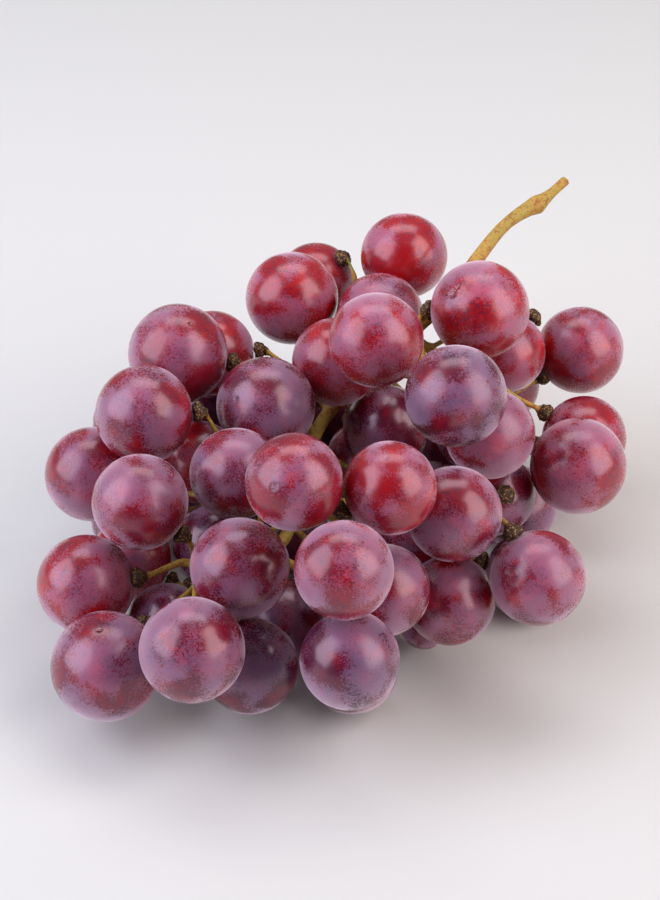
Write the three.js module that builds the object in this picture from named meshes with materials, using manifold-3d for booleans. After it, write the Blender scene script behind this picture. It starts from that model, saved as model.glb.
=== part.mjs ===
// A bunch of large red table grapes, cut from the vine with a length of its main stalk, lying on a flat surface.
// Millimetres, +Z up. X runs across the bunch, Y from its tip towards the cut stalk, and Z = 0 is the surface.
// The stem is one grown piece: the stalk, the main stem inside the bunch, its side shoots and one small stalk
// for each grape. Each grape is a piece of its own, held at the end of its small stalk.
import * as THREE from "three";
import { mergeVertices } from "three/addons/utils/BufferGeometryUtils.js";
import Module from "manifold-3d";

const wasm = await Module();
wasm.setup();

// Driving dimensions
const GAP = 0.3; // between two grapes, and between a grape and the end of its stalk
const FOOT = 0.5; // how far a grape is pressed flat where it lies on the surface
const SEEN_FROM = 500; // distance of the eye, in front of and above the bunch
const EYE_ELEVATION = THREE.MathUtils.degToRad(35);
const EYE_HEIGHT_OF_MIDDLE = 58; // height above the surface of the point that the eye looks at
const HIDDEN_WIDTH = 23.5; // a grape on the far side
const MOST_GRAPES = 59;
const STALK_RADIUS = 0.85; // a grape's own small stalk
const COLLAR_RADIUS = 2.6; // the warty collar where the small stalk meets the grape
const COLLAR_HEIGHT = 1.5;
const BRANCH_POWER = 0.24; // a branch's radius grows with this power of the grapes it carries

// The whole bunch as a low dome: half-width, half-length, and its height above and depth below its widest level
const BODY = { x: 0, y: 20, z: 24, halfX: 77, halfY: 74, above: 60, below: 60 };

// The grapes that show from the front, from the nearest to the furthest. across and up are measured from the
// middle of the view, at the distance of that middle, as is the grape's width. stalk is the side on which its
// small stalk shows: to the right, up and towards the eye. One that rests lies on the surface, and one that is
// behind shows through a gap beyond the main stem.
const SEEN = [
  { across: -34.5, up: -50, width: 27 },
  { across: 3.5, up: -30, width: 25.5 },
  { across: -9, up: -8, width: 25 },
  { across: 31.5, up: 13.5, width: 26 },
  { across: 11.5, up: 27.5, width: 24 },
  { across: -56, up: -54, width: 28, rests: true },
  { across: -22.5, up: -29.5, width: 25.5 },
  { across: -47.5, up: -13, width: 24.5 },
  { across: 15, up: -9.5, width: 24, stalk: [-0.9, -0.4, -0.1] },
  { across: -23.5, up: -6, width: 23.5 },
  { across: -46.5, up: 9, width: 25, stalk: [1, 0, -0.1] },
  { across: -16, up: 11, width: 25 },
  { across: 5, up: -52.5, width: 25.5, rests: true },
  { across: 1.5, up: 22, width: 22.5 },
  { across: 31, up: -16, width: 24.5 },
  { across: 40, up: 4, width: 23 },
  { across: 62, up: -4, width: 24.5 },
  { across: 37.5, up: 35, width: 25 },
  { across: 52, up: -32, width: 24.5, stalk: [-0.67, 0.74, 0.15] },
  { across: 13.5, up: -35, width: 23.5 },
  { across: -38, up: 24, width: 25.5 },
  { across: -61, up: -33.5, width: 25, stalk: [1, 0.1, 0.2] },
  { across: 12.5, up: 33.5, width: 22 },
  { across: -9.5, up: 38, width: 23.5 },
  { across: 43.5, up: 24.5, width: 21, stalk: [0.69, 0.73, 0] },
  { across: -20, up: -54, width: 24.5, rests: true },
  { across: 30, up: -37.5, width: 23 },
  { across: 62.5, up: 25, width: 22 },
  { across: 18.5, up: 48.5, width: 22 },
  { across: -3.5, up: 42, width: 20, stalk: [0.6, 0.5, 0.6] },
  { across: 14, up: 5.5, width: 22 },
  { across: -29.5, up: 24, width: 22, stalk: [1, 0.12, 0.1] },
  { across: -59.5, up: -6, width: 24 },
  { across: 63.5, up: 3, width: 21.5, stalk: [-0.85, 0.5, 0.1] },
  { across: 41, up: -11, width: 21, stalk: [0.15, 0.05, 1] },
  { across: 23.5, up: -43.5, width: 13 },
  { across: 42.5, up: 16.5, width: 20 },
  { across: 46.5, up: -14, width: 21 },
  { across: -40.5, up: -43.5, width: 21 },
  { across: -50, up: -27.5, width: 21 },
  { across: -28.5, up: -24, width: 22 },
  { across: -33, up: -3, width: 21 },
  { across: 9, up: -2, width: 20 },
  { across: -11, up: -43, width: 22 },
  { across: 3.5, up: 9, width: 21, behind: true },
  { across: -31, up: 10.5, width: 21, behind: true },
  { across: -9.5, up: -22, width: 20, behind: true },
];

// The main stem from its cut end to its tip, as the same view shows it: across, up and towards the eye, with its
// radius. The swelling near the cut end is a joint of the vine shoot.
const MAIN_STEM = [
  { across: 59, up: 67.5, near: -75, radius: 1.5 },
  { across: 54.5, up: 63.5, near: -73, radius: 1.5 },
  { across: 52, up: 61.5, near: -71.5, radius: 3 },
  { across: 49, up: 60, near: -70, radius: 2.2 },
  { across: 43.5, up: 56, near: -66, radius: 1.8 },
  { across: 37, up: 48, near: -62, radius: 2.1 },
  { across: 30, up: 38, near: -57, radius: 2.3 },
  { across: 23, up: 32, near: -51, radius: 2.2 },
  { across: 10, up: 19, near: -58, radius: 2.1 },
  { across: -1, up: 8.5, near: -57, radius: 2 },
  { across: -8, up: -8, near: -38, radius: 1.9 },
  { across: -12, up: -23, near: -22, radius: 1.7 },
  { across: -24, up: -29, near: -14, radius: 1.4 },
  { across: -37, up: -28, near: -12, radius: 1.1 },
];
const FIRST_INSIDE = 7; // the first point of the main stem that is among the grapes

const cosE = Math.cos(EYE_ELEVATION);
const sinE = Math.sin(EYE_ELEVATION);

// The point seen at across and up in the view, at a distance nearer the eye than the view's middle.
function fromView(across, up, near) {
  const shrink = 1 - near / SEEN_FROM;
  const a = across * shrink;
  const u = up * shrink;
  return new THREE.Vector3(a, u * sinE - near * cosE, EYE_HEIGHT_OF_MIDDLE + u * cosE + near * sinE);
}

// A direction given in the view: right, up and towards the eye.
function viewDirection([right, up, near]) {
  return new THREE.Vector3(right, up * sinE - near * cosE, up * cosE + near * sinE).normalize();
}

// 1 on the outer surface of the dome that the grape's centre may reach, less inside it.
function bodyLevel(p, radius) {
  const dz = p.z - BODY.z;
  const half = (dz > 0 ? BODY.above : BODY.below) - radius;
  const x = (p.x - BODY.x) / (BODY.halfX - radius);
  const y = (p.y - BODY.y) / (BODY.halfY - radius);
  return Math.sqrt(x * x + y * y + (dz / half) ** 2);
}

function place(grape) {
  grape.centre = fromView(grape.across, grape.up, grape.near);
  grape.radius = (grape.width / 2) * (1 - grape.near / SEEN_FROM);
}

// The nearest place to the eye, along a grape's line of sight, that is inside the dome, or closest to it.
function setOnDome(grape) {
  const NEAREST = 40;
  const FURTHEST = -110;
  let best = Infinity;
  for (let near = NEAREST; near >= FURTHEST; near -= 1) {
    const at = { ...grape, near };
    place(at);
    const level = bodyLevel(at.centre, at.radius);
    if (level < best) {
      best = level;
      grape.near = near;
    }
    if (level <= 1) break;
  }
  place(grape);
}

function stemPoints() {
  const points = MAIN_STEM.map((s) => fromView(s.across, s.up, s.near));
  return { curve: new THREE.CatmullRomCurve3(points, false, "centripetal"), points };
}

// The main stem as evenly spaced points with radii, each followed by the next one inwards.
function sampleStem() {
  const STEP = 3;
  const { curve } = stemPoints();
  const spans = MAIN_STEM.length - 1;
  const count = Math.round(curve.getLength() / STEP);
  return Array.from({ length: count + 1 }, (_, i) => {
    const t = curve.getUtoTmapping(i / count) * spans;
    const k = Math.min(Math.floor(t), spans - 1);
    const radius = THREE.MathUtils.lerp(MAIN_STEM[k].radius, MAIN_STEM[k + 1].radius, t - k);
    const near = THREE.MathUtils.lerp(MAIN_STEM[k].near, MAIN_STEM[k + 1].near, t - k);
    return { at: curve.getPointAt(i / count), radius, near, inside: t >= FIRST_INSIDE };
  });
}

// How near the eye a grape on its line of sight has to be to clear a fixed ball, in front of it (side 1) or behind
// it (side -1), or null where the two don't meet in the view.
function clearNear(grape, ball, ballRadius, side, gap = GAP) {
  const moving = { ...grape };
  for (let step = 0; step < 5; step++) {
    place(moving);
    const toEye = EYE.clone().sub(moving.centre).normalize();
    const offset = moving.centre.clone().sub(ball);
    const along = offset.dot(toEye);
    const room = (moving.radius + ballRadius + gap) ** 2 - (offset.lengthSq() - along * along);
    if (room <= 0) return null;
    moving.near += side * Math.sqrt(room) - along;
  }
  return moving.near;
}

// Sets how near each seen grape is. From the front, each lies on the dome or behind the grapes that cover it. Then,
// from the back, each that the surface or a grape behind it holds up comes forward.
function settleSeen(grapes, stem) {
  const CLEAR_OF_STEM = 0.8;
  const putBehindStem = (g) => {
    for (const s of stem) {
      g.near = Math.min(g.near, clearNear(g, s.at, s.radius, -1, CLEAR_OF_STEM) ?? Infinity);
      place(g);
    }
  };
  const liftToSurface = (g) => {
    g.near += (g.radius - FOOT - g.centre.z) / sinE;
    place(g);
  };
  grapes.forEach((g, i) => {
    setOnDome(g);
    for (let round = 0; g.rests && round < 4; round++) liftToSurface(g);
    if (g.behind) putBehindStem(g);
    for (const f of grapes.slice(0, i)) {
      g.near = Math.min(g.near, clearNear(g, f.centre, f.radius, -1) ?? Infinity);
      place(g);
    }
  });
  for (let i = grapes.length - 1; i >= 0; i--) {
    const g = grapes[i];
    for (let round = 0; g.centre.z < g.radius - FOOT && round < 4; round++) liftToSurface(g);
    for (const b of grapes.slice(i + 1)) {
      g.near = Math.max(g.near, clearNear(g, b.centre, b.radius, 1) ?? -Infinity);
      place(g);
    }
    for (const s of stem.filter((s) => s.near < g.near && !g.behind)) {
      g.near = Math.max(g.near, clearNear(g, s.at, s.radius, 1, CLEAR_OF_STEM) ?? -Infinity);
      place(g);
    }
  }
}

// True if a grape nearer the eye than the point stands in front of it. The point may be on an outline round a
// centre that is compared in its place.
function isCovered(point, grapes, centre = point) {
  const ray = new THREE.Ray(EYE, point.clone().sub(EYE).normalize());
  const nearer = (g) => EYE.distanceToSquared(g.centre) < EYE.distanceToSquared(centre);
  return grapes.some((g) => nearer(g) && ray.distanceSqToPoint(g.centre) < g.radius ** 2);
}

// True if the seen grapes in front cover the whole outline of a ball.
function isHidden(centre, radius, seen) {
  const RIM = 16;
  const ALLOWED = 1.5;
  const line = centre.clone().sub(EYE).normalize();
  const side = new THREE.Vector3(0, 0, 1).cross(line).normalize();
  const up = line.clone().cross(side);
  for (let k = 0; k <= RIM; k++) {
    const angle = (2 * Math.PI * k) / RIM;
    const reach = k === RIM ? 0 : radius - ALLOWED;
    const p = centre
      .clone()
      .addScaledVector(side, Math.cos(angle) * reach)
      .addScaledVector(up, Math.sin(angle) * reach);
    if (!isCovered(p, seen, centre)) return false;
  }
  return true;
}

// Fills the far side and the underside with grapes that the seen ones hide, each in the free place where it lies
// snugly against its neighbours and far out on the dome, and first of all where it lies on the surface.
function addHidden(grapes, stem) {
  const STEP = 2.5;
  const CLEAR_OF_STEM = 1;
  const SNUG_REACH = 4;
  const OUTWARD_WEIGHT = 3;
  const ON_SURFACE_WEIGHT = 4;
  const radius = HIDDEN_WIDTH / 2;
  const lowest = radius - FOOT;
  const seen = [...grapes];
  const gapTo = (centre, g) => g.centre.distanceTo(centre) - radius - g.radius;
  let places = [];
  for (let x = BODY.x - BODY.halfX; x <= BODY.x + BODY.halfX; x += STEP) {
    for (let y = BODY.y - BODY.halfY; y <= BODY.y + BODY.halfY; y += STEP) {
      for (let z = lowest; z <= BODY.z + BODY.above; z += STEP) {
        const centre = new THREE.Vector3(x, y, z);
        const level = bodyLevel(centre, radius);
        if (level > 1) continue;
        if (stem.some((s) => s.at.distanceTo(centre) < radius + s.radius + CLEAR_OF_STEM)) continue;
        if (grapes.some((g) => gapTo(centre, g) < GAP)) continue;
        if (isHidden(centre, radius, seen)) places.push({ centre, level });
      }
    }
  }
  while (grapes.length < MOST_GRAPES && places.length > 0) {
    for (const p of places) {
      const snug = grapes.map((g) => Math.max(0, 1 - gapTo(p.centre, g) / SNUG_REACH));
      p.score = OUTWARD_WEIGHT * p.level + snug.reduce((sum, v) => sum + v, 0);
      if (p.centre.z === lowest) p.score += ON_SURFACE_WEIGHT;
    }
    const best = places.reduce((a, b) => (b.score > a.score ? b : a));
    grapes.push({ centre: best.centre, radius });
    places = places.filter((p) => gapTo(p.centre, grapes.at(-1)) >= GAP);
  }
}

const EYE = fromView(0, 0, SEEN_FROM);
const mainStem = sampleStem();
const grapes = SEEN.map((g) => ({ ...g, near: 0 }));
settleSeen(grapes, mainStem);
addHidden(grapes, mainStem);

// A min-heap of cells by cost
class Frontier {
  items = [];

  push(cost, cell) {
    const { items } = this;
    let i = items.push({ cost, cell }) - 1;
    while (i > 0) {
      const up = (i - 1) >> 1;
      if (items[up].cost <= items[i].cost) break;
      [items[up], items[i]] = [items[i], items[up]];
      i = up;
    }
  }

  pop() {
    const { items } = this;
    const top = items[0];
    const last = items.pop();
    if (items.length === 0) return top;
    items[0] = last;
    let i = 0;
    for (;;) {
      const left = 2 * i + 1;
      if (left >= items.length) return top;
      const right = left + 1;
      const least = right < items.length && items[right].cost < items[left].cost ? right : left;
      if (items[i].cost <= items[least].cost) return top;
      [items[i], items[least]] = [items[least], items[i]];
      i = least;
    }
  }
}

// The free space between the grapes as a grid of small cells, and the shortest ways through it from the main stem.
class Channels {
  STEP = 2;
  CLEAR = STALK_RADIUS + 0.45; // from a branch's middle line to a grape
  ROOMY = 2.6;

  constructor(grapes, stem) {
    const box = new THREE.Box3().setFromPoints(grapes.map((g) => g.centre)).expandByScalar(16);
    this.low = box.min.clone();
    this.low.z = Math.max(this.low.z, 2);
    this.size = box.max.clone().sub(this.low).divideScalar(this.STEP).ceil();
    const count = this.size.x * this.size.y * this.size.z;
    this.room = new Float32Array(count);
    this.inSight = new Uint8Array(count);
    this.cost = new Float64Array(count).fill(Infinity);
    this.from = new Int32Array(count).fill(-1);
    for (let c = 0; c < count; c++) {
      const p = this.at(c);
      this.room[c] = Math.min(...grapes.map((g) => g.centre.distanceTo(p) - g.radius));
      this.inSight[c] = this.room[c] < this.CLEAR || isCovered(p, grapes) ? 0 : 1;
    }
    this.spread(stem);
  }

  at(cell) {
    const { x, y } = this.size;
    const i = cell % x;
    const j = Math.floor(cell / x) % y;
    const k = Math.floor(cell / (x * y));
    return new THREE.Vector3(i, j, k).multiplyScalar(this.STEP).add(this.low);
  }

  cellAt(p) {
    const { x, y } = this.size;
    const q = p.clone().sub(this.low).divideScalar(this.STEP).round();
    return q.x + x * (q.y + y * q.z);
  }

  // Ways through narrow gaps, near the outside of the bunch and in sight of the eye cost more.
  toll(cell) {
    const squeeze = Math.max(0, this.ROOMY - this.room[cell]) / (this.ROOMY - this.CLEAR);
    const outside = Math.max(0, bodyLevel(this.at(cell), 0) - 0.8) * 6;
    return 1 + 1.2 * squeeze + outside + 3 * this.inSight[cell];
  }

  spread(stem) {
    const frontier = new Frontier();
    this.startOf = new Map();
    stem.forEach((s, i) => {
      const cell = this.cellAt(s.at);
      if (!s.inside || this.startOf.has(cell)) return;
      this.startOf.set(cell, i);
      this.cost[cell] = 0;
      frontier.push(0, cell);
    });
    const { x, y, z } = this.size;
    while (frontier.items.length > 0) {
      const { cost, cell } = frontier.pop();
      if (cost > this.cost[cell]) continue;
      const i = cell % x;
      const j = Math.floor(cell / x) % y;
      const k = Math.floor(cell / (x * y));
      for (let dk = -1; dk <= 1; dk++) {
        for (let dj = -1; dj <= 1; dj++) {
          for (let di = -1; di <= 1; di++) {
            const ni = i + di;
            const nj = j + dj;
            const nk = k + dk;
            if (ni < 0 || nj < 0 || nk < 0 || ni >= x || nj >= y || nk >= z) continue;
            const next = ni + x * (nj + y * nk);
            if (this.room[next] < this.CLEAR) continue;
            const far = cost + Math.hypot(di, dj, dk) * this.STEP * this.toll(next);
            if (far >= this.cost[next]) continue;
            this.cost[next] = far;
            this.from[next] = cell;
            frontier.push(far, next);
          }
        }
      }
    }
  }
}

const channels = new Channels(grapes, mainStem);

// The cell where a grape's small stalk begins: on the side named for it, or a cheap one that faces away from the eye.
function stalkRoot(grape) {
  const SHORTEST = 5;
  const reach = grape.radius + GAP + COLLAR_HEIGHT + 2;
  const wanted = grape.stalk && viewDirection(grape.stalk);
  let best = null;
  for (let c = 0; c < channels.cost.length; c++) {
    const cost = channels.cost[c];
    if (cost === Infinity) continue;
    const away = channels.at(c).sub(grape.centre);
    const length = away.length();
    if (Math.abs(length - reach) > channels.STEP) continue;
    const direction = away.divideScalar(length);
    const facing = direction.dot(viewDirection([0, 0, 1]));
    const short = Math.max(0, SHORTEST - cost);
    const price = wanted
      ? 80 * direction.distanceTo(wanted) + 0.1 * cost
      : cost + 3 * short + 25 * Math.max(0, facing + 0.1) + 12 * Math.max(0, -direction.z);
    if (!best || price < best.price) best = { price, cell: c, direction };
  }
  return best;
}

// The branches as joints, the main stem's first. Each joint knows the one before it on the way from the cut end.
function growJoints() {
  const joints = mainStem.map((s, i) => ({ at: s.at.clone(), radius: s.radius, parent: i - 1, fixed: true }));
  const jointAt = new Map(channels.startOf);
  for (const grape of grapes) {
    const { cell: rootCell, direction } = stalkRoot(grape);
    grape.axis = direction;
    const trail = [];
    let cell = rootCell;
    for (; !jointAt.has(cell); cell = channels.from[cell]) trail.unshift(cell);
    let parent = jointAt.get(cell);
    for (const c of trail) {
      parent = joints.push({ at: channels.at(c), parent }) - 1;
      jointAt.set(c, parent);
    }
    for (const height of [COLLAR_HEIGHT + 1.5, 0]) {
      const at = grape.centre.clone().addScaledVector(direction, grape.radius + GAP + height);
      parent = joints.push({ at, parent, fixed: true }) - 1;
    }
    for (let j = parent; j >= 0; j = joints[j].parent) joints[j].carries = (joints[j].carries ?? 0) + 1;
  }
  joints.forEach((joint) => {
    joint.children = [];
    joint.radius ??= STALK_RADIUS * joint.carries ** BRANCH_POWER;
  });
  joints.forEach((joint, j) => joints[joint.parent]?.children.push(j));
  return joints;
}

// Draws the joints into smooth lines and holds them clear of the grapes.
function smoothJoints(joints) {
  const ROUNDS = 14;
  const SKIN = 0.35;
  for (let round = 0; round < ROUNDS; round++) {
    for (const joint of joints) {
      if (joint.fixed) continue;
      const next = [joint.parent, ...joint.children].map((j) => joints[j].at);
      const middle = next.reduce((sum, p) => sum.add(p), new THREE.Vector3()).divideScalar(next.length);
      joint.at.lerp(middle, 0.5);
      for (let push = 0; push < 3; push++) {
        for (const g of grapes) {
          const away = joint.at.clone().sub(g.centre);
          const short = g.radius + joint.radius + SKIN - away.length();
          if (short > 0) joint.at.addScaledVector(away.normalize(), short);
        }
      }
    }
  }
}

// A closed round bar along a smooth line, with a ring of corners at each station.
function bar(curve, stations, sides) {
  const rings = stations.length - 1;
  const geometry = new THREE.CylinderGeometry(1, 1, rings, sides, rings);
  const position = geometry.attributes.position;
  const across = new THREE.Vector3(0.3, 0.5, 0.8);
  const frames = stations.map(({ u, radius }) => {
    const tangent = curve.getTangentAt(u);
    across.addScaledVector(tangent, -across.dot(tangent)).normalize();
    return { at: curve.getPointAt(u), radius, across: across.clone(), up: tangent.cross(across) };
  });
  for (let i = 0; i < position.count; i++) {
    const { at, radius, across: x, up } = frames[Math.round(position.getY(i) + rings / 2)];
    const p = at.clone().addScaledVector(x, position.getX(i) * radius);
    p.addScaledVector(up, -position.getZ(i) * radius);
    position.setXYZ(i, p.x, p.y, p.z);
  }
  return geometry;
}

// A branch through points, with a radius at each and so many sides, its rings at about one spacing. One that ends
// at a grape widens into the warty collar.
function branch(points, radii, { sides, spacing, endsAtGrape }) {
  const curve = new THREE.CatmullRomCurve3(points, false, "centripetal");
  const length = curve.getLength();
  const plain = endsAtGrape ? length - COLLAR_HEIGHT - 0.9 : length;
  const count = Math.max(1, Math.round(plain / spacing));
  const stations = Array.from({ length: count + 1 }, (_, i) => {
    const u = ((i / count) * plain) / length;
    const t = curve.getUtoTmapping(u) * (points.length - 1);
    const k = Math.min(Math.floor(t), points.length - 2);
    return { u, radius: THREE.MathUtils.lerp(radii[k], radii[k + 1], t - k) };
  });
  if (endsAtGrape) {
    stations.push({ u: 1 - COLLAR_HEIGHT / length, radius: COLLAR_RADIUS * 0.75 });
    stations.push({ u: 1 - 0.5 / length, radius: COLLAR_RADIUS });
    stations.push({ u: 1, radius: COLLAR_RADIUS * 0.85 });
  }
  return bar(curve, stations, sides);
}

function toManifold(geometry) {
  const bare = new THREE.BufferGeometry();
  bare.setAttribute("position", geometry.attributes.position);
  bare.setIndex(geometry.index);
  const merged = mergeVertices(bare, 1e-4);
  const kept = [];
  for (let i = 0; i < merged.index.count; i += 3) {
    const [a, b, c] = [0, 1, 2].map((k) => merged.index.getX(i + k));
    if (a !== b && b !== c && c !== a) kept.push(a, b, c);
  }
  const vertProperties = new Float32Array(merged.attributes.position.array);
  return new wasm.Manifold(new wasm.Mesh({ numProp: 3, vertProperties, triVerts: new Uint32Array(kept) }));
}

function toGeometry(solid) {
  const mesh = solid.getMesh();
  const geometry = new THREE.BufferGeometry();
  geometry.setAttribute("position", new THREE.BufferAttribute(mesh.vertProperties, 3));
  geometry.setIndex(new THREE.BufferAttribute(mesh.triVerts, 1));
  geometry.computeVertexNormals();
  return geometry;
}

// One grown piece: the main stem, its side shoots, and the small stalks with their collars.
function stemGeometry(joints) {
  const MAIN = { sides: 8, spacing: 3, endsAtGrape: false };
  const SHOOT = { sides: 6, spacing: 8 };
  const FLARE = 1.3; // a branch is this much thicker where it leaves its parent
  const main = joints.slice(0, mainStem.length);
  const solids = [toManifold(branch(main.map((j) => j.at), main.map((j) => j.radius), MAIN))];
  joints.forEach((joint, j) => {
    const parent = joints[joint.parent];
    const starts = j >= main.length && (joint.parent < main.length || parent.children.length > 1);
    if (!starts) return;
    const chain = [parent, joint];
    while (chain.at(-1).children.length === 1) chain.push(joints[chain.at(-1).children[0]]);
    const radii = chain.map((link, i) => (i === 0 ? joint.radius * FLARE : link.radius));
    const endsAtGrape = chain.at(-1).children.length === 0;
    solids.push(toManifold(branch(chain.map((link) => link.at), radii, { ...SHOOT, endsAtGrape })));
  });
  let whole = wasm.Manifold.union(solids);
  for (const g of grapes) {
    if (whole.intersect(toManifold(grapeGeometry(g))).volume() === 0) continue;
    const hollow = new THREE.SphereGeometry(g.radius + GAP, 18, 14);
    whole = whole.subtract(toManifold(hollow.translate(g.centre.x, g.centre.y, g.centre.z)));
  }
  const [outerSkin, next] = whole.decompose().sort((a, b) => b.volume() - a.volume());
  if (next?.volume() > 1) throw new Error("a grape cuts through the stem");
  return toGeometry(outerSkin);
}

// A round grape, very slightly longer than wide, its length in line with its small stalk. Where it lies on the
// surface it is pressed flat.
function grapeGeometry(grape) {
  const onSurface = grape.centre.z < grape.radius - 0.1;
  const [around, along] = onSurface ? [12, 9] : [10, 8];
  const ACROSS = 0.985;
  const radius = grape.radius * (onSurface ? 1.02 : 1); // the flat sides of a faceted ball are nearer its centre
  const geometry = new THREE.SphereGeometry(radius, around, along).scale(ACROSS, 1, ACROSS);
  geometry.applyQuaternion(new THREE.Quaternion().setFromUnitVectors(new THREE.Vector3(0, 1, 0), grape.axis));
  geometry.translate(grape.centre.x, grape.centre.y, grape.centre.z);
  if (!onSurface) return geometry;
  const slab = new THREE.BoxGeometry(60, 60, 20).translate(grape.centre.x, grape.centre.y, -10);
  return toGeometry(toManifold(geometry).subtract(toManifold(slab)));
}

const joints = growJoints();
smoothJoints(joints);

const bunch = new THREE.Group();
const rosy = new THREE.MeshStandardMaterial({ color: 0xa8475f, roughness: 0.35, metalness: 0 });
const woody = new THREE.MeshStandardMaterial({ color: 0xb08a3c, roughness: 0.7, metalness: 0 });
const stem = new THREE.Mesh(stemGeometry(joints), woody);
stem.name = "stem";
bunch.add(stem);
grapes.forEach((grape, i) => {
  const mesh = new THREE.Mesh(grapeGeometry(grape), rosy);
  mesh.name = `grape_${String(i + 1).padStart(2, "0")}`;
  bunch.add(mesh);
});

// The origin is under the middle of the bunch, on the surface that it lies on.
const bounds = new THREE.Box3().setFromObject(bunch);
const middle = bounds.getCenter(new THREE.Vector3());
bunch.position.set(-middle.x, -middle.y, -bounds.min.z);

export default bunch;
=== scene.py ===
"""Dresses a bunch of large red table grapes: skins with bloom, a stem with warty collars, water drops."""

import math

import bpy
import numpy as np
from mathutils import Matrix, Vector


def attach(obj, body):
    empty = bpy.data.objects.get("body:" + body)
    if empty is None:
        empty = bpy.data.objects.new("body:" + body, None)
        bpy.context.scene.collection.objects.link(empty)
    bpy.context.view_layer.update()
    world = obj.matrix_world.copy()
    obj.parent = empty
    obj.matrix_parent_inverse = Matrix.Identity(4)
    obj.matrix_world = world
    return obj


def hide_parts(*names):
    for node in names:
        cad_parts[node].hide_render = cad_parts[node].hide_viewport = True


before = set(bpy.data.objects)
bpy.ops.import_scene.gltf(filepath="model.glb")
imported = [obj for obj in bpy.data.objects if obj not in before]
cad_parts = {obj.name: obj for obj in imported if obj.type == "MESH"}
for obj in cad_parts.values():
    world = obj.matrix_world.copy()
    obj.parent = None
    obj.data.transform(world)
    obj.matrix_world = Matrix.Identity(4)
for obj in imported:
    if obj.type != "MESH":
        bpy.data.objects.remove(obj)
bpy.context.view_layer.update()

bl_info = {
    "name": "Bunch of table grapes",
    "version": (1, 0, 0),
    "blender": (4, 5, 0),
    "location": "3D View > Sidebar > Grapes",
    "description": "Makes the skins, the stem and the drops of a bunch of red table grapes",
    "category": "Object",
}

MM = 0.001
GRAPES = sorted(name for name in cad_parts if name.startswith("grape_"))

# How ripe the grapes are, from red to dark purple, and how thick their bloom is, by their numbers;
# the spread is partly painted light: redder on grapes in full light, darker purple on grapes deep in the
# bunch
LOOKS = (
    (0.05, 0.2, (24, 29, 30, 40, 42)),
    (0.15, 0.4, (5, 9, 14, 18, 25, 32, 37, 43)),
    (0.35, 0.4, (3, 17, 21, 22, 23, 28, 34)),
    (0.45, 0.7, (2, 8, 11, 16, 19, 33)),
    (0.6, 0.75, (1, 6, 7, 10, 15, 20, 27, 44)),
    (0.85, 0.5, (4, 12, 13, 26, 31, 38, 39, 41)),
    (1.0, 0.2, (45, 46, 47)),
)
HIDDEN_LOOK = (0.7, 0.5)

# Water drops: the grape, the place on it seen from the camera (right, up, towards it), and the radius in mm
DROPS = (
    (3, (-0.38, -0.08, 0.92), 1.3),
    (12, (-0.57, 0.13, 0.81), 1.0),
    (18, (-0.6, 0.27, 0.75), 1.45),
    (18, (-0.5, 0.4, 0.77), 0.8),
    (4, (-0.93, 0.2, 0.3), 0.9),
    (6, (-0.05, 0.72, 0.69), 1.0),
    (21, (0.3, 0.55, 0.78), 0.8),
    (23, (0.62, -0.45, 0.64), 0.7),
)

# How grapes of one look differ: the draws' seed, the shortest length, the pattern seeds, and the spread
RANDOM_SEED = 11
SHORTEST = 0.985
PATTERN_SEEDS = 400
LOOK_SPREAD = 0.05

# The patterns in the skin are sized for a grape of this radius
PATTERN_RADIUS = 12 * MM

# Corners of a grape lower than this belong to its pressed foot
FOOT_HEIGHT = 0.05 * MM

# The collar's direction is read from this many of the stem's corners nearest to the grape
COLLAR_CORNERS = 24

# The collar: how far its middle is from the skin, how far its warts reach from there, and where they fade out
COLLAR_OFF_SKIN = 0.9 * MM
COLLAR_REACH = 3.6 * MM
COLLAR_FADE = 1.4 * MM

# The stem is green at its cut end, and again, less so, deep in the bunch: how green, how far, how it fades
CUT_GREEN = 0.9
CUT_REACH = 9 * MM
CUT_FADE = 3 * MM
DEEP_GREEN = 0.3
DEEP_START = 45 * MM
DEEP_FADE = 25 * MM

# The lights: name, place from the middle of the bunch (m), width and height (m), watts, and colour
SOFTBOXES = (
    ("softbox_left", (-0.72, -0.2, 0.5), (0.9, 1.0), 10.5, "eef0ff"),
    ("softbox_right", (0.66, -0.3, 0.5), (0.8, 1.0), 9.5, "fff3ee"),
    ("softbox_top", (0.0, 0.4, 0.85), (0.9, 0.4), 3.5, "ffffff"),
)
FLOOR_HALF = 20.0  # m
SENSOR_WIDTH = 36  # mm


def srgb(code):
    """The linear colour of a hex code such as "a8475f"."""
    parts = [int(code[i : i + 2], 16) / 255 for i in (0, 2, 4)]
    return tuple(c / 12.92 if c <= 0.04045 else ((c + 0.055) / 1.055) ** 2.4 for c in parts)


def colour_prop(name, description, code):
    return bpy.props.FloatVectorProperty(
        name=name, description=description, default=srgb(code), size=3, min=0, max=1, subtype="COLOR"
    )


def length_prop(name, description, mm):
    return bpy.props.FloatProperty(
        name=name, description=description, default=mm * MM, unit="LENGTH", precision=5
    )


def share_prop(name, description, value):
    return bpy.props.FloatProperty(
        name=name, description=description, default=value, min=0, max=1, subtype="FACTOR"
    )


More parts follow.
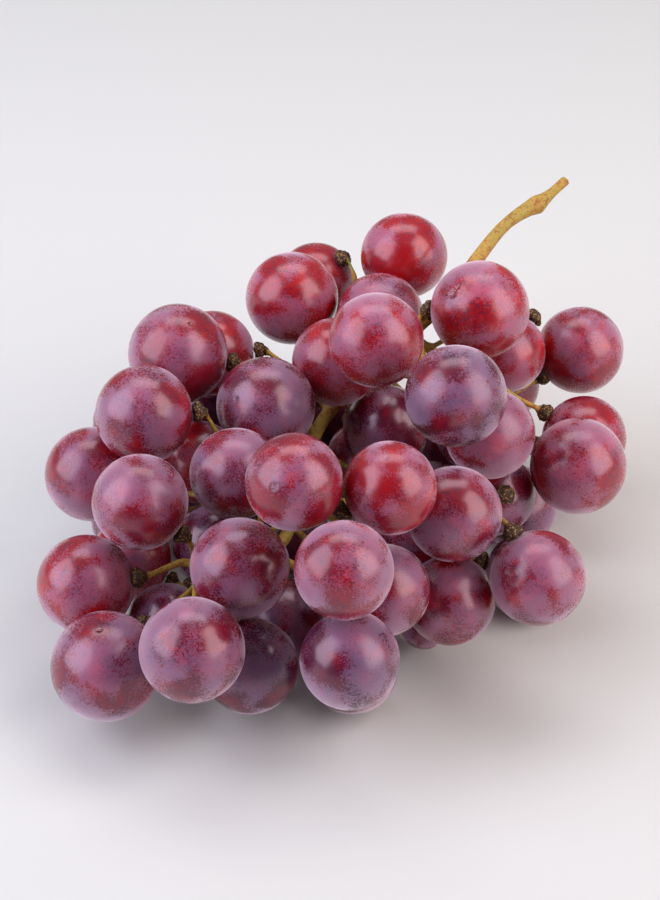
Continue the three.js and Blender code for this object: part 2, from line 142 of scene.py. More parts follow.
class GrapeSettings(bpy.types.PropertyGroup):
    ripe: colour_prop("Ripe skin", "Skin of the ripest grapes, without bloom", "4c0f2e")
    red: colour_prop("Red skin", "Skin of the less ripe grapes, without bloom", "a8131a")
    # Painted glow: a bright red painted into the skin's colour in place of light coming through the skin
    glow: colour_prop("Glow", "Light that comes through the thin skin where it was rubbed bare", "b8160c")
    bloom: colour_prop("Bloom", "The wax that dusts the skin", "a98fc6")
    speck: colour_prop("Specks", "Dark specks in the skin", "2a0a24")
    dusted_speck: colour_prop("Dusted specks", "Dark specks seen through the bloom", "4a2048")
    scratched: colour_prop("Scratches", "Skin that a scratch laid bare", "3a1030")
    scar: colour_prop("Scar", "Dry scar at the end away from the stalk", "4d3320")
    bloom_strength: share_prop("Bloom strength", "How far the wax hides the skin where it is thickest", 0.24)
    # The same reach also sets how far from a neighbour or the floor the painted glow goes
    touch: length_prop("Rubbed reach", "How far from a neighbour the bloom is rubbed off", 3.5)
    lump: share_prop("Unevenness", "How far a grape is from a smooth ball, as a share of its radius", 0.035)
    dimple: share_prop("Dimple", "Depth of the pit at the stalk, as a share of the radius", 0.03)
    length: bpy.props.FloatProperty(
        name="Length", description="Length over width of a grape", default=1.0, min=0.9
    )
    patch: length_prop("Bloom patch", "Size of a patch of bloom", 9)
    dust: length_prop("Bloom grain", "Size of the smallest breaks in the bloom", 0.45)
    stroke: length_prop("Strokes", "Size of the wiped strokes in the bloom", 1.4)
    cloud: length_prop("Clouds", "Size of the clouds of red and purple in the skin", 8)
    # The spots where the glow colour is painted into the skin, in place of light coming through it
    painted_glow_spot: length_prop("Warm spots", "Size of the spots where light comes through the skin", 6)
    mottle: length_prop("Mottle", "Size of the specks in the skin", 0.7)
    speck_group: length_prop("Groups of specks", "Size of the groups that the specks form", 7)
    scratch: length_prop("Scratch distance", "From one scratch to the next", 0.8)
    scratch_group: length_prop("Groups of scratches", "Size of the groups that the scratches form", 3)
    relief: length_prop("Relief", "Height of the specks", 0.03)


class StemSettings(bpy.types.PropertyGroup):
    tan: colour_prop("Bark", "Dry bark of the stem", "c08f3c")
    green: colour_prop("Green stem", "Stem that is still green", "93a04c")
    rust: colour_prop("Rust", "Rust-brown flecks in the bark", "9a4f1c")
    crack: colour_prop("Cracks", "Dark cracks in the bark", "4a2c14")
    collar: colour_prop("Collar", "Warts of the collar at each grape", "5c3a1c")
    # Crevices and wart tops: partly the collar's own colour, partly painted shade between the warts and a
    # painted highlight on their tops
    crevice: colour_prop("Crevices", "Between the warts of a collar", "241409")
    wart_top: colour_prop("Wart tops", "Pale tops of the warts", "c8924a")
    voxel: length_prop("Detail", "Size of the smallest shape on the stem", 0.4)
    grain: length_prop("Grain", "Height of the bark's unevenness", 0.16)
    wart: length_prop("Wart", "Height of the warts on a collar", 0.8)
    wart_size: length_prop("Wart size", "Distance between two warts", 1.15)
    blotch: length_prop("Blotches", "Size of the blotches of green and tan", 4)
    fleck: length_prop("Flecks", "Size of the rust flecks", 1.5)
    crack_size: length_prop("Crack size", "Size of the cracks", 0.55)
    knob: length_prop("Knobs", "Distance between the fine knobs on the warts", 0.7)
    fibre: length_prop("Fibres", "Size of the fine relief of the bark", 0.35)
    relief: length_prop("Relief", "Height of the fine relief and the knobs", 0.15)


class DropSettings(bpy.types.PropertyGroup):
    flatness: share_prop("Height", "How far a drop stands up from the skin, as a share of its radius", 0.6)
    seat: share_prop("Seat", "How far out a drop's middle is, as a share of the grape's radius", 0.99)


class StageSettings(bpy.types.PropertyGroup):
    floor: colour_prop("Floor", "Pale floor", "d2d2d2")
    distance: length_prop("Distance", "From the camera to the middle of the bunch", 500)
    elevation: bpy.props.FloatProperty(
        name="Elevation",
        description="Angle of the camera above the floor",
        default=math.radians(35),
        subtype="ANGLE",
    )
    card: length_prop("Dark card", "Width of the card behind the camera that keeps the skins deep", 700)
    card_colour: colour_prop("Card colour", "Matt black of the card", "080808")
    card_gap: length_prop("Card gap", "From the camera back to the dark card", 60)
    room_light: share_prop("Room light", "Strength of the even light from all sides", 0.26)
    frame_height: length_prop("Frame height", "Height of the picture at the middle of the bunch", 225)
    middle: bpy.props.FloatVectorProperty(
        name="Middle",
        description="Point that the camera looks at",
        default=(-3.94 * MM, -28.84 * MM, 58 * MM),
        subtype="TRANSLATION",
    )


def add(tree, kind, inputs=None, **settings):
    """Adds a node. An input is given by its name or number, as a value or as the socket to link to it."""
    node = tree.nodes.new(kind)
    node.location = (180 * len(tree.nodes), 0)
    for name, value in settings.items():
        setattr(node, name, value)
    for key, value in (inputs or {}).items():
        socket = node.inputs[key]
        if isinstance(value, bpy.types.NodeSocket):
            tree.links.new(value, socket)
        else:
            socket.default_value = value
    return node


def rgba(colour):
    return (*colour, 1)


def new_material(name):
    material = bpy.data.materials.new(name)
    material.use_nodes = True
    material.node_tree.nodes.clear()
    return material, material.node_tree


def put_surface(tree, shader):
    add(tree, "ShaderNodeOutputMaterial", {"Surface": shader.outputs[0]})


def sharpen(tree, value, low, high):
    """0 below low, 1 above high, and a smooth step between."""
    step = add(tree, "ShaderNodeMapRange", {"Value": value, "From Min": low, "From Max": high})
    step.interpolation_type = "SMOOTHSTEP"
    return step.outputs[0]


def blend(tree, factor, first, second):
    """The first colour at factor 0, the second at factor 1."""
    mix = add(tree, "ShaderNodeMix", {"Factor": factor}, data_type="RGBA")
    for socket, value in ((mix.inputs[6], first), (mix.inputs[7], second)):
        if isinstance(value, bpy.types.NodeSocket):
            tree.links.new(value, socket)
        else:
            socket.default_value = value
    return mix.outputs[2]


def calc(tree, operation, first, second=0.0, clamp=False):
    """One step of arithmetic, kept between 0 and 1 if it is clamped."""
    node = add(tree, "ShaderNodeMath", {0: first, 1: second}, operation=operation, use_clamp=clamp)
    return node.outputs[0]


def centred(tree, value, weight, middle=0.5):
    """How far value is from its middle, times weight."""
    return calc(tree, "MULTIPLY", calc(tree, "SUBTRACT", value, middle), weight)


def attribute(tree, name, output="Fac"):
    return add(tree, "ShaderNodeAttribute", attribute_name=name).outputs[output]


def grape_skin(s):
    """Ripe grape skin, grown: a thin translucent skin over wet flesh, which glows red where light passes
    through it, under a dust of pale wax that softens the gloss and is rubbed off in spots. More red glow is
    painted into the skin's colour, in spots and near the neighbours."""
    material, tree = new_material("grape_skin_with_bloom")
    place = attribute(tree, "fruit", "Vector")
    seed = attribute(tree, "seed")
    ripeness = attribute(tree, "ripeness")
    dusted = attribute(tree, "dusted")
    touching = attribute(tree, "touching")

    def noise(size, detail, roughness=0.5, distortion=0.0, shift=0.0):
        """A pattern that differs from grape to grape, and from the other patterns by its shift."""
        own = calc(tree, "ADD", seed, shift)
        inputs = {
            "Vector": add(tree, "ShaderNodeVectorMath", {0: place, 1: own}, operation="ADD").outputs[0],
            "Scale": PATTERN_RADIUS / size,
            "Detail": detail,
            "Roughness": roughness,
            "Distortion": distortion,
        }
        return add(tree, "ShaderNodeTexNoise", inputs).outputs["Fac"]

    # Bloom in wide patches with a grainy edge, rubbed off in spots and where a neighbour touches;
    # near the neighbours and the floor the same mask also paints the red glow further down
    patches = noise(s.patch, 1.5, distortion=0.3)
    dust = noise(s.dust, 2, 0.7, shift=3)
    strokes = noise(s.stroke, 3, 0.7, 2.2, shift=9)
    # Near neighbours and the floor: partly bloom rubbed off, partly painted light, the red glow painted
    # further down
    rubbed = calc(tree, "MULTIPLY", touching, 0.3)
    level = calc(tree, "SUBTRACT", 0.48, rubbed)
    for pattern, weight in ((patches, 1.8), (dust, 0.8), (strokes, 0.7), (dusted, 0.3)):
        level = calc(tree, "ADD", level, centred(tree, pattern, weight))
    cover = sharpen(tree, level, 0.32, 0.68)

    # Skin from red to purple, cloudy, with a painted glow in the red ones and where the bloom is gone:
    # a bright red painted into the colour in place of light coming through the skin
    cloud = noise(s.cloud, 2, distortion=0.3, shift=5)
    ripe = calc(tree, "ADD", ripeness, centred(tree, cloud, 0.9), True)
    skin = blend(tree, ripe, rgba(s.red), rgba(s.ripe))
    # Painted glow: the bright red is painted in random spots and near the neighbours and the floor, in place
    # of light coming through the skin
    painted_glow_mask = calc(tree, "ADD", noise(s.painted_glow_spot, 2, distortion=0.2, shift=7), rubbed)
    painted_glow_mask = sharpen(tree, painted_glow_mask, 0.5, 0.75)
    unripe = calc(tree, "SUBTRACT", 1.0, calc(tree, "MULTIPLY", ripe, 0.8), True)
    skin = blend(tree, calc(tree, "MULTIPLY", painted_glow_mask, unripe), skin, rgba(s.glow))
    mottle = noise(s.mottle, 3, 0.7, 0.6, shift=11)
    grouped = centred(tree, noise(s.speck_group, 1, shift=13), 0.3)
    specks = sharpen(tree, calc(tree, "ADD", mottle, grouped), 0.5, 0.66)
    skin = blend(tree, calc(tree, "MULTIPLY", specks, 0.45), skin, rgba(s.speck))
    coloured = blend(tree, calc(tree, "MULTIPLY", cover, s.bloom_strength), skin, rgba(s.bloom))
    coloured = blend(tree, calc(tree, "MULTIPLY", specks, 0.35), coloured, rgba(s.dusted_speck))

    # Fine scratches in the bloom, longer along the grape than across it
    along_grape = {0: place, 1: (1.0, 1.0, 0.12)}
    drawn_out = add(tree, "ShaderNodeVectorMath", along_grape, operation="MULTIPLY").outputs[0]
    inputs = {
        "Vector": drawn_out,
        "W": seed,
        "Scale": PATTERN_RADIUS / s.scratch,
        "Detail": 2.0,
        "Distortion": 0.6,
    }
    lines = add(tree, "ShaderNodeTexNoise", inputs, noise_dimensions="4D").outputs["Fac"]
    off_line = sharpen(tree, calc(tree, "ABSOLUTE", centred(tree, lines, 1.0)), 0.002, 0.012)
    grouped = sharpen(tree, noise(s.scratch_group, 2, shift=17), 0.56, 0.66)
    scratch = calc(tree, "MULTIPLY", calc(tree, "SUBTRACT", 1.0, off_line), grouped)
    coloured = blend(tree, calc(tree, "MULTIPLY", scratch, 0.5), coloured, rgba(s.scratched))

    # The scar where the flower fell off, at the end away from the stalk
    along = add(tree, "ShaderNodeSeparateXYZ", {0: place}).outputs["Z"]
    scar = sharpen(tree, calc(tree, "MULTIPLY", along, -1.0), 0.9988, 0.9996)
    coloured = blend(tree, scar, coloured, rgba(s.scar))

    # Bare skin is glossy, and the wax on it and its grain make it duller
    rough = calc(tree, "ADD", calc(tree, "MULTIPLY", cover, 0.14), 0.2)
    rough = calc(tree, "ADD", rough, calc(tree, "MULTIPLY", dust, 0.1))
    bump = add(tree, "ShaderNodeBump", {"Height": mottle, "Distance": s.relief, "Strength": 0.45})
    shader = add(
        tree,
        "ShaderNodeBsdfPrincipled",
        {
            "Base Color": coloured,
            "Roughness": rough,
            "Normal": bump.outputs[0],
            "IOR": 1.45,
            "Specular IOR Level": 0.8,
            "Specular Tint": rgba(srgb("ffd9ee")),
            "Subsurface Weight": 0.45,
            "Subsurface Radius": (1.0, 0.14, 0.1),
            "Subsurface Scale": 3.0 * MM,
            "Coat Weight": 0.5,
            "Coat Roughness": 0.22,
            "Coat Normal": bump.outputs[0],
            "Sheen Weight": calc(tree, "MULTIPLY", cover, 0.95),
            "Sheen Roughness": 0.5,
            "Sheen Tint": rgba(srgb("fde4fa")),
        },
    )
    put_surface(tree, shader)
    return material


def stem_bark(s):
    """Grape stem, grown and half dried: green and tan bark with rust flecks and cracks, and dark, dry, warty
    collars."""
    material, tree = new_material("grape_stem_bark")
    place = add(tree, "ShaderNodeTexCoord").outputs["Object"]
    collar = attribute(tree, "collar")
    green = attribute(tree, "green")

    def noise(size, detail, roughness=0.55):
        inputs = {"Vector": place, "Scale": 1 / size, "Detail": detail, "Roughness": roughness}
        return add(tree, "ShaderNodeTexNoise", inputs).outputs["Fac"]

    # Bark from tan to green in blotches, with flecks and cracks
    fleck = sharpen(tree, noise(s.fleck, 5, 0.75), 0.49, 0.6)
    crack = sharpen(tree, noise(s.crack_size, 4, 0.7), 0.53, 0.64)
    greenness = calc(tree, "ADD", green, centred(tree, noise(s.blotch, 4), 1.2), True)
    bark = blend(tree, greenness, rgba(s.tan), rgba(s.green))
    bark = blend(tree, calc(tree, "MULTIPLY", fleck, 0.75), bark, rgba(s.rust))
    bark = blend(tree, calc(tree, "MULTIPLY", crack, 0.5), bark, rgba(s.crack))

    # Pale knobs with dark crevices between them on the collars: partly the collar's own colour,
    # partly a painted highlight on the raised knobs and painted shade in the crevices
    cells = add(tree, "ShaderNodeTexVoronoi", {"Vector": place, "Scale": 1 / s.knob}, feature="F1")
    pale = calc(tree, "SUBTRACT", 1.0, sharpen(tree, cells.outputs["Distance"], 0.1, 0.5))
    knobs = blend(tree, pale, rgba(s.crevice), rgba(s.wart_top))
    knobs = blend(tree, 0.25, knobs, rgba(s.collar))
    coloured = blend(tree, sharpen(tree, collar, 0.35, 0.8), bark, knobs)
    height = calc(tree, "ADD", noise(s.fibre, 4, 0.65), calc(tree, "MULTIPLY", pale, collar))
    bump = add(tree, "ShaderNodeBump", {"Height": height, "Distance": s.relief, "Strength": 0.8})
    shader = add(
        tree,
        "ShaderNodeBsdfPrincipled",
        {
            "Base Color": coloured,
            "Roughness": 0.62,
            "Normal": bump.outputs[0],
            "Subsurface Weight": 0.08,
            "Subsurface Radius": (1.0, 0.5, 0.2),
            "Subsurface Scale": 1 * MM,
        },
    )
    put_surface(tree, shader)
    return material


def water():
    """Clear water, standing in drops: a bright point of light and the skin's colour through it."""
    material, tree = new_material("water_drop")
    shader = add(
        tree,
        "ShaderNodeBsdfPrincipled",
        {"Base Color": (1, 1, 1, 1), "Roughness": 0.02, "IOR": 1.333, "Transmission Weight": 1.0},
    )
    put_surface(tree, shader)
    return material


def tree_with(name, sockets):
    """A geometry tree with the given inputs, (name, socket type) each, and its group input node."""
    tree = bpy.data.node_groups.new(name, "GeometryNodeTree")
    for label, kind in sockets:
        tree.interface.new_socket(label, in_out="INPUT", socket_type=kind)
    tree.interface.new_socket("Geometry", in_out="OUTPUT", socket_type="NodeSocketGeometry")
    return tree, tree.nodes.new("NodeGroupInput")


def finish_tree(tree, geometry, material):
    """Ends the tree with real geometry that wears the material."""
    solid = add(tree, "GeometryNodeRealizeInstances", {0: geometry})
    dressed = add(tree, "GeometryNodeSetMaterial", {"Geometry": solid.outputs[0], "Material": material})
    add(tree, "NodeGroupOutput", {0: dressed.outputs[0]})


def run_tree(name, tree, values, mesh=None):
    """A new object whose mesh is what the tree makes with these values."""
    piece = bpy.data.objects.new(name, mesh or bpy.data.meshes.new(name))
    bpy.context.scene.collection.objects.link(piece)
    modifier = piece.modifiers.new("shape", "NODES")
    modifier.node_group = tree
    for socket in tree.interface.items_tree:
        if socket.in_out == "INPUT" and socket.name in values:
            modifier[socket.identifier] = values[socket.name]
    piece.update_tag()
    graph = bpy.context.evaluated_depsgraph_get()
    made = bpy.data.meshes.new_from_object(piece.evaluated_get(graph), depsgraph=graph)
    piece.modifiers.clear()
    piece.data = made
    made.name = name
    return piece


def store(tree, geometry, name, value, kind="FLOAT"):
    """The geometry with value kept on its corners as an attribute."""
    inputs = {"Geometry": geometry, "Name": name}
    node = add(tree, "GeometryNodeStoreNamedAttribute", inputs, data_type=kind)
    tree.links.new(value, next(i for i in node.inputs if i.name == "Value" and i.enabled))
    return node.outputs[0]


def grape_tree():
    """A grape from a ball: slightly uneven, drawn in at the stalk, flat where it lies on the floor."""
    tree, given = tree_with(
        "Grape",
        [
            ("Radius", "NodeSocketFloat"),
            ("Length", "NodeSocketFloat"),
            ("Unevenness", "NodeSocketFloat"),
            ("Dimple", "NodeSocketFloat"),
            ("Seed", "NodeSocketFloat"),
            ("Ripeness", "NodeSocketFloat"),
            ("Dusted", "NodeSocketFloat"),
            ("Turn", "NodeSocketVector"),
            ("Centre", "NodeSocketVector"),
            ("Skin", "NodeSocketMaterial"),
        ],
    )
    value = given.outputs
    ball = add(tree, "GeometryNodeMeshIcoSphere", {"Radius": 1.0, "Subdivisions": 5})
    where = add(tree, "GeometryNodeInputPosition").outputs[0]
    shape = store(tree, ball.outputs[0], "fruit", where, "FLOAT_VECTOR")
    for name, source in (("seed", "Seed"), ("ripeness", "Ripeness"), ("dusted", "Dusted")):
        shape = store(tree, shape, name, value[source])
    lumps = add(
        tree,
        "ShaderNodeTexNoise",
        {"Vector": where, "W": value["Seed"], "Scale": 0.8, "Detail": 1.0},
        noise_dimensions="4D",
    )
    # Lowered more than raised, so that a grape hardly leaves its ball
    uneven = centred(tree, lumps.outputs["Fac"], value["Unevenness"], middle=0.62)
    along = add(tree, "ShaderNodeSeparateXYZ", {0: where}).outputs["Z"]
    pit = calc(tree, "POWER", calc(tree, "MAXIMUM", along, 0.0), 55.0)
    pit = calc(tree, "MULTIPLY", pit, value["Dimple"])
    grow = calc(tree, "SUBTRACT", calc(tree, "ADD", uneven, 1.0), pit)
    scaled = add(tree, "ShaderNodeVectorMath", {0: where, "Scale": grow}, operation="SCALE").outputs[0]
    stretch = add(tree, "ShaderNodeCombineXYZ", {0: 1.0, 1: 1.0, 2: value["Length"]}).outputs[0]
    scaled = add(tree, "ShaderNodeVectorMath", {0: scaled, 1: stretch}, operation="MULTIPLY").outputs[0]
    shape = add(tree, "GeometryNodeSetPosition", {"Geometry": shape, "Position": scaled}).outputs[0]
    size = add(tree, "ShaderNodeCombineXYZ", {k: value["Radius"] for k in range(3)}).outputs[0]
    placed = add(
        tree,
        "GeometryNodeTransform",
        {"Geometry": shape, "Translation": value["Centre"], "Rotation": value["Turn"], "Scale": size},
    ).outputs[0]
    x, y, z = add(tree, "ShaderNodeSeparateXYZ", {0: where}).outputs
    level = add(tree, "ShaderNodeCombineXYZ", {0: x, 1: y, 2: calc(tree, "MAXIMUM", z, 0.0)}).outputs[0]
    pressed = add(tree, "GeometryNodeSetPosition", {"Geometry": placed, "Position": level}).outputs[0]
    smooth = add(tree, "GeometryNodeSetShadeSmooth", {0: pressed}).outputs[0]
    finish_tree(tree, smooth, value["Skin"])
    return tree


def stem_tree():
    """Gives the smooth stem its uneven bark and the warts of its collars."""
    tree, given = tree_with(
        "Stem bark",
        [
            ("Geometry", "NodeSocketGeometry"),
            ("Grain", "NodeSocketFloat"),
            ("Wart", "NodeSocketFloat"),
            ("Wart Size", "NodeSocketFloat"),
            ("Bark", "NodeSocketMaterial"),
        ],
    )
    value = given.outputs
    collar = add(tree, "GeometryNodeInputNamedAttribute", {"Name": "collar"}, data_type="FLOAT").outputs[0]
    normal = add(tree, "GeometryNodeInputNormal").outputs[0]
    density = calc(tree, "DIVIDE", 1.0, value["Wart Size"])
    cells = add(tree, "ShaderNodeTexVoronoi", {"Scale": density}, feature="F1").outputs["Distance"]
    warts = calc(tree, "SUBTRACT", 1.1, cells)
    warts = calc(tree, "MULTIPLY", calc(tree, "MULTIPLY", warts, value["Wart"]), collar)
    ridges = add(tree, "ShaderNodeTexNoise", {"Scale": 700.0, "Detail": 3.0}).outputs["Fac"]
    raised = calc(tree, "ADD", warts, centred(tree, ridges, value["Grain"]))
    push = add(tree, "ShaderNodeVectorMath", {0: normal, "Scale": raised}, operation="SCALE")
    shape = add(tree, "GeometryNodeSetPosition", {"Geometry": value["Geometry"], "Offset": push.outputs[0]})
    smooth = add(tree, "GeometryNodeSetShadeSmooth", {0: shape.outputs[0]}).outputs[0]
    finish_tree(tree, smooth, value["Bark"])
    return tree


def read_points(mesh):
    """The mesh's corners, as rows of an array."""
    points = np.empty(len(mesh.vertices) * 3)
    mesh.vertices.foreach_get("co", points)
    return points.reshape(-1, 3)


def drop_tree():
    """A water drop: a flattened ball, sunk a little into the skin."""
    tree, given = tree_with(
        "Drop",
        [
            ("Radius", "NodeSocketFloat"),
            ("Height", "NodeSocketFloat"),
            ("Turn", "NodeSocketVector"),
            ("Centre", "NodeSocketVector"),
            ("Water", "NodeSocketMaterial"),
        ],
    )
    value = given.outputs
    ball = add(tree, "GeometryNodeMeshIcoSphere", {"Radius": 1.0, "Subdivisions": 4})
    height = calc(tree, "MULTIPLY", value["Radius"], value["Height"])
    size = add(tree, "ShaderNodeCombineXYZ", {0: value["Radius"], 1: value["Radius"], 2: height}).outputs[0]
    inputs = {
        "Geometry": ball.outputs[0],
        "Translation": value["Centre"],
        "Rotation": value["Turn"],
        "Scale": size,
    }
    placed = add(tree, "GeometryNodeTransform", inputs)
    smooth = add(tree, "GeometryNodeSetShadeSmooth", {0: placed.outputs[0]}).outputs[0]
    finish_tree(tree, smooth, value["Water"])
    return tree


def node_points(name):
    """The corners of a CAD node, as rows of an array, one row for each corner of each triangle."""
    return read_points(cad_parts[name].data)


def ball_through(points):
    """The centre and radius of the ball that fits points best."""
    a = np.c_[2 * points, np.ones(len(points))]
    fit = np.linalg.lstsq(a, (points**2).sum(axis=1), rcond=None)[0]
    centre = fit[:3]
    return centre, math.sqrt(fit[3] + centre @ centre)


def grape_facts():
    """Each grape's centre, radius and the direction of its stalk, read from its CAD node."""
    stem = node_points("stem")
    facts = {}
    for name in GRAPES:
        points = node_points(name)
        unique, uses = np.unique(np.round(points, 6), axis=0, return_counts=True)
        above = unique[:, 2] > FOOT_HEIGHT
        centre, radius = ball_through(unique[above])
        near = stem[np.argsort(((stem - centre) ** 2).sum(axis=1))[:COLLAR_CORNERS]]
        towards = near.mean(axis=0) - centre
        # Most triangles meet in the ball's two poles, and one of them is at the stalk
        poles = unique[above][np.argsort(uses[above])[-2:]] - centre
        pole = max(poles, key=lambda p: p @ towards / np.linalg.norm(p))
        facts[name] = (Vector(centre), radius, Vector(pole).normalized())
    return facts


FACTS = grape_facts()


def mark_touching(mesh, own_name, reach):
    """Stores how near each corner of a grape is to its neighbours or the floor: 1 where it touches, 0 from
    reach on."""
    points = read_points(mesh)
    gap = points[:, 2]
    for name, (centre, radius, _) in FACTS.items():
        if name != own_name:
            gap = np.minimum(gap, np.linalg.norm(points - np.array(centre), axis=1) - radius)
    touching = np.clip(1 - gap / reach, 0, 1)
    mesh.attributes.new("touching", "FLOAT", "POINT").data.foreach_set("value", touching)


class GRAPES_OT_skins(bpy.types.Operator):
    """Makes every grape"""

    bl_idname = "grapes.skins"
    bl_label = "Grapes"

    def execute(self, context):
        s = context.scene.grape_settings
        skin = grape_skin(s)
        tree = grape_tree()
        rng = np.random.default_rng(RANDOM_SEED)
        looks = {f"grape_{k:02d}": (ripe, dusted) for ripe, dusted, numbers in LOOKS for k in numbers}
        for name in GRAPES:
            centre, radius, pole = FACTS[name]
            ripe, dusted = looks.get(name, HIDDEN_LOOK)
            values = {
                "Radius": radius,
                "Length": s.length * rng.uniform(SHORTEST, 1.0),
                "Unevenness": s.lump,
                "Dimple": s.dimple,
                "Seed": float(rng.uniform(0, PATTERN_SEEDS)),
                "Ripeness": float(ripe + rng.normal(0, LOOK_SPREAD)),
                "Dusted": float(dusted + rng.normal(0, LOOK_SPREAD)),
                "Turn": tuple(pole.to_track_quat("Z", "Y").to_euler()),
                "Centre": tuple(centre),
                "Skin": skin,
            }
            piece = run_tree(f"fruit_{name[-2:]}", tree, values)
            mark_touching(piece.data, name, s.touch)
            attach(piece, "root")
            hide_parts(name)
        return {"FINISHED"}


class GRAPES_OT_stem(bpy.types.Operator):
    """Makes the stem with its bark and collars"""

    bl_idname = "grapes.stem"
    bl_label = "Stem"

    def execute(self, context):
        s = context.scene.stem_settings
        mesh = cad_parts["stem"].data.copy()
        mesh.materials.clear()
        smooth = bpy.data.objects.new("stem_shape", mesh)
        context.scene.collection.objects.link(smooth)
        weld = smooth.modifiers.new("weld", "WELD")
        weld.merge_threshold = 0.001 * MM
        remesh = smooth.modifiers.new("remesh", "REMESH")
        remesh.mode = "VOXEL"
        remesh.voxel_size = s.voxel
        soften = smooth.modifiers.new("soften", "SMOOTH")
        soften.factor = 0.5
        soften.iterations = 4
        graph = context.evaluated_depsgraph_get()
        shaped = bpy.data.meshes.new_from_object(smooth.evaluated_get(graph), depsgraph=graph)
        bpy.data.objects.remove(smooth)

        points = read_points(shaped)
        collar = np.zeros(len(points))
        for centre, radius, pole in FACTS.values():
            foot = np.array(centre + pole * (radius + COLLAR_OFF_SKIN))
            far = np.linalg.norm(points - foot, axis=1)
            collar = np.maximum(collar, np.clip((COLLAR_REACH - far) / COLLAR_FADE, 0, 1))
        cut = points[np.argmax(points[:, 1])]
        from_cut = np.linalg.norm(points - cut, axis=1)
        green = np.clip((CUT_REACH - from_cut) / CUT_FADE, 0, 1) * CUT_GREEN
        green = np.maximum(green, np.clip((from_cut - DEEP_START) / DEEP_FADE, 0, DEEP_GREEN))
        for name, values in (("collar", collar), ("green", green)):
            shaped.attributes.new(name, "FLOAT", "POINT").data.foreach_set("value", values)

        values = {"Grain": s.grain, "Wart": s.wart, "Wart Size": s.wart_size, "Bark": stem_bark(s)}
        piece = run_tree("stem_bark", stem_tree(), values, shaped)
        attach(piece, "root")
        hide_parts("stem")
        return {"FINISHED"}


class GRAPES_OT_drops(bpy.types.Operator):
    """Makes the water drops on the grapes"""

    bl_idname = "grapes.drops"
    bl_label = "Drops"

    def execute(self, context):
        s = context.scene.drop_settings
        tilt = context.scene.stage_settings.elevation
        right = Vector((1, 0, 0))
        up = Vector((0, math.sin(tilt), math.cos(tilt)))
        near = Vector((0, -math.cos(tilt), math.sin(tilt)))
        clear = water()
        tree = drop_tree()
        for k, (number, (across, above, towards), radius) in enumerate(DROPS):
            centre, grape_radius, _ = FACTS[f"grape_{number:02d}"]
            outward = (right * across + up * above + near * towards).normalized()
            values = {
                "Radius": radius * MM,
                "Height": s.flatness,
                "Turn": tuple(outward.to_track_quat("Z", "Y").to_euler()),
                "Centre": tuple(centre + outward * grape_radius * s.seat),
                "Water": clear,
            }
            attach(run_tree(f"drop_{k + 1}", tree, values), "root")
        return {"FINISHED"}


class GRAPES_OT_stage(bpy.types.Operator):
    """Makes the floor, the lights and the camera"""

    bl_idname = "grapes.stage"
    bl_label = "Stage"

    def execute(self, context):
        s = context.scene.stage_settings
        middle = Vector(s.middle)
        toward_eye = Vector((0, -math.cos(s.elevation), math.sin(s.elevation)))
        eye = middle + toward_eye * s.distance
        stage_sheet("floor", FLOOR_HALF, Matrix(), s.floor)
        behind_camera = middle + toward_eye * (s.distance + s.card_gap)
        card = stage_sheet("dark_card", s.card / 2, look_from(behind_camera, middle), s.card_colour)
        card.visible_camera = False
        for name, place, size, power, tint in SOFTBOXES:
            light = bpy.data.lights.new(name, "AREA")
            light.shape = "RECTANGLE"
            light.size, light.size_y = size
            light.energy = power
            light.color = srgb(tint)
            lamp = bpy.data.objects.new(name, light)
            lamp.matrix_world = look_from(Vector(place) + middle, middle)
            context.scene.collection.objects.link(lamp)

        world = bpy.data.worlds.new("white_room")
        world.use_nodes = True
        background = world.node_tree.nodes["Background"]
        background.inputs["Color"].default_value = (1, 1, 1, 1)
        background.inputs["Strength"].default_value = s.room_light
        context.scene.world = world
        context.scene.view_settings.view_transform = "Standard"

        lens = bpy.data.cameras.new("camera")
        lens.sensor_width = SENSOR_WIDTH
        lens.lens = SENSOR_WIDTH * s.distance / s.frame_height
        lens.clip_start = 0.01
        camera = bpy.data.objects.new("camera", lens)
        camera.matrix_world = look_from(eye, middle)
        context.scene.collection.objects.link(camera)
        context.scene.camera = camera
        return {"FINISHED"}


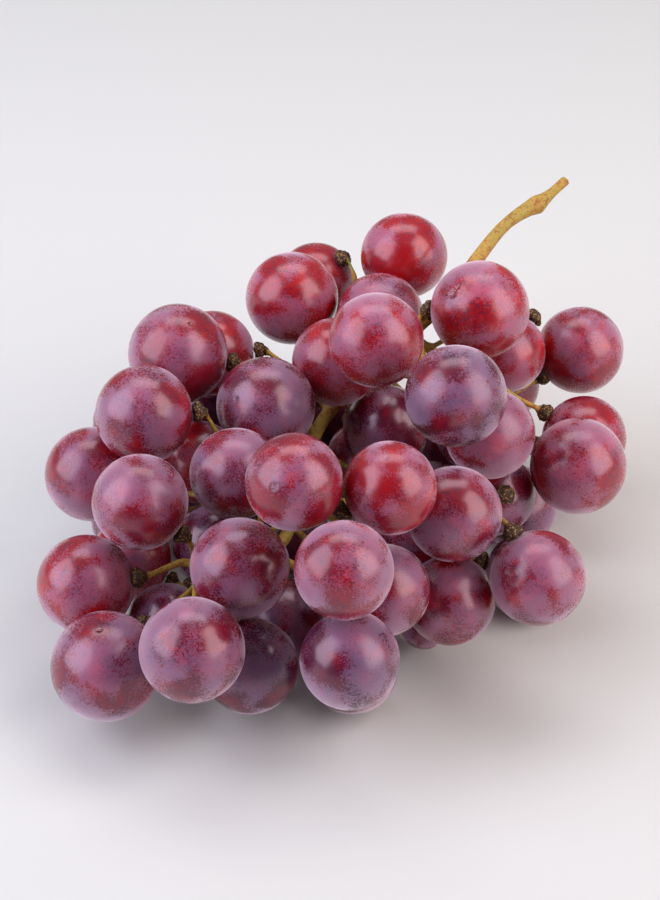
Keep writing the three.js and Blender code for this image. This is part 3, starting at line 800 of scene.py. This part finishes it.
def stage_sheet(name, half, placed, colour):
    """A flat matt square, painted, that isn't part of the bunch."""
    material, tree = new_material(f"painted_{name}")
    paint = {"Base Color": rgba(colour), "Roughness": 0.9}
    put_surface(tree, add(tree, "ShaderNodeBsdfPrincipled", paint))
    mesh = bpy.data.meshes.new(name)
    corners = [(-half, -half, 0), (half, -half, 0), (half, half, 0), (-half, half, 0)]
    mesh.from_pydata(corners, [], [(0, 1, 2, 3)])
    mesh.transform(placed)
    mesh.materials.append(material)
    sheet = bpy.data.objects.new(name, mesh)
    bpy.context.scene.collection.objects.link(sheet)
    return sheet


def look_from(place, target):
    """Puts a thing at place and turns its -Z towards target."""
    turn = (target - place).to_track_quat("-Z", "Y").to_matrix().to_4x4()
    return Matrix.Translation(place) @ turn


class GRAPES_PT_panel(bpy.types.Panel):
    """The bunch's sizes and colours, and a button for each group of pieces"""

    bl_idname = "GRAPES_PT_panel"
    bl_label = "Bunch of table grapes"
    bl_space_type = "VIEW_3D"
    bl_region_type = "UI"
    bl_category = "Grapes"

    def draw(self, context):
        for title, operator, settings in (
            ("Grapes", "grapes.skins", context.scene.grape_settings),
            ("Stem", "grapes.stem", context.scene.stem_settings),
            ("Drops", "grapes.drops", context.scene.drop_settings),
            ("Stage", "grapes.stage", context.scene.stage_settings),
        ):
            box = self.layout.box()
            box.label(text=title)
            for name in settings.__annotations__:
                box.prop(settings, name)
            box.operator(operator)


SETTINGS = {
    "grape_settings": GrapeSettings,
    "stem_settings": StemSettings,
    "drop_settings": DropSettings,
    "stage_settings": StageSettings,
}
OPERATORS = (GRAPES_OT_skins, GRAPES_OT_stem, GRAPES_OT_drops, GRAPES_OT_stage)
CLASSES = (*SETTINGS.values(), *OPERATORS, GRAPES_PT_panel)


def register():
    for cls in CLASSES:
        bpy.utils.register_class(cls)
    for name, group in SETTINGS.items():
        setattr(bpy.types.Scene, name, bpy.props.PointerProperty(type=group))


def unregister():
    for name in SETTINGS:
        delattr(bpy.types.Scene, name)
    for cls in reversed(CLASSES):
        bpy.utils.unregister_class(cls)


def main():
    register()
    bpy.ops.grapes.stage()
    bpy.ops.grapes.stem()
    bpy.ops.grapes.skins()
    bpy.ops.grapes.drops()


if __name__ == "__main__":
    main()
